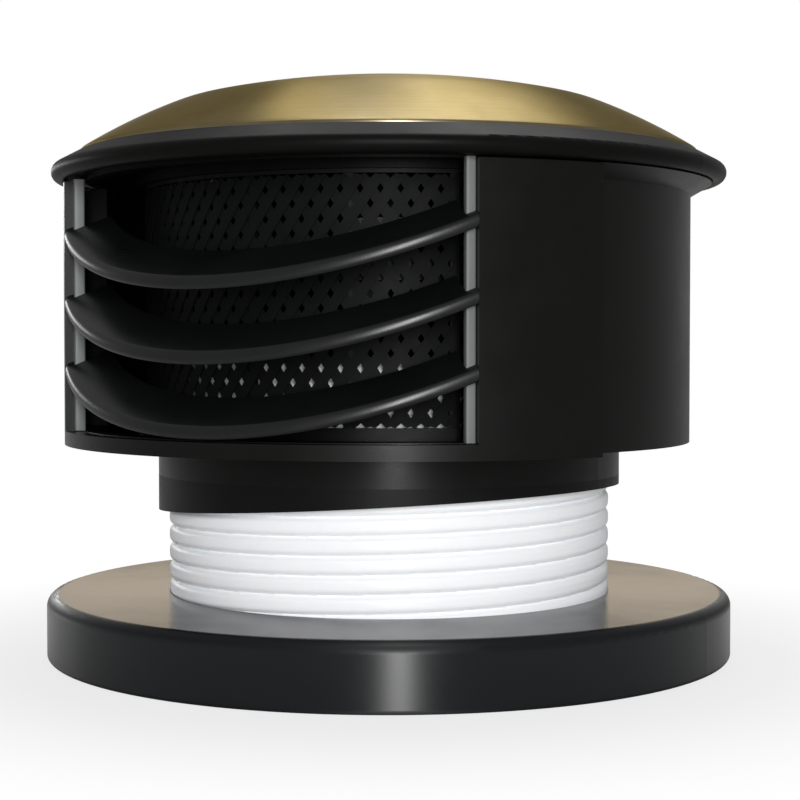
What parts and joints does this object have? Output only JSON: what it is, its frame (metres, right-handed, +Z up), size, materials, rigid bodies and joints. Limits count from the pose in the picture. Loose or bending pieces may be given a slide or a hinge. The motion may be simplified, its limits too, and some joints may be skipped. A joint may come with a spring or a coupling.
{
  "type": "mushroom deck vent",
  "caption": "Round mushroom deck vent: louvred black cowl under a domed metal cap, screwing up and down on a white threaded spigot that stands on a deck flange, with an inner closing disc.",
  "frame": {"origin": "centre of the flange's underside, on the deck", "axes": "+Z up along the vent's axis, -Y out of the louvre"},
  "size_m": [0.154, 0.154, 0.1286],
  "materials": {
    "flange_plastic": "moulded satin black",
    "rubber_seal": "moulded matt black",
    "white_nylon": "moulded white, slight gloss",
    "stainless_fasteners": "plain bright",
    "inner_plastic": "moulded black",
    "washer_plastic": "smooth natural",
    "cowl_plastic": "moulded black, low gloss",
    "louvre_plastic": "moulded black, low gloss",
    "post_plastic": "moulded grey",
    "screen_mesh": "expanded metal, coated black",
    "cap_metal": "spun and brushed, warm bronze"
  },
  "bodies": {
    "base": {"deck_flange": "flange_plastic", "deck_gasket": "rubber_seal", "threaded_spigot": "white_nylon", "spigot_screws": "stainless_fasteners"},
    "closing_disc": {"closing_disc": "inner_plastic", "disc_seal": "rubber_seal"},
    "head": {"stem_bolt": "stainless_fasteners", "thrust_washer": "washer_plastic", "cowl_body": "cowl_plastic", "neck_seal": "rubber_seal", "louvre_posts": "post_plastic", "louvre_slats": "louvre_plastic", "cage_rims": "inner_plastic", "cage_bars": "inner_plastic", "insect_screen": "screen_mesh", "dome_gasket": "rubber_seal", "dome": "cowl_plastic", "dome_screws": "stainless_fasteners", "metal_cap": "cap_metal", "cap_washers": "stainless_fasteners", "cap_nuts": "stainless_fasteners"}
  },
  "joints": [
    {"name": "disc_lift", "type": "slide", "parent": "base", "child": "closing_disc", "axis": [0, 0, 1], "range_m": [-0.016, 0]},
    {"name": "head_turn", "type": "hinge", "parent": "closing_disc", "child": "head", "pos_m": [0, 0, 0], "axis": [0, 0, 1], "range_deg": [-720, 0]}
  ],
  "couplings": [
    {"joint": "disc_lift", "follows": "head_turn", "m_per_rad": 0.0012732}
  ]
}
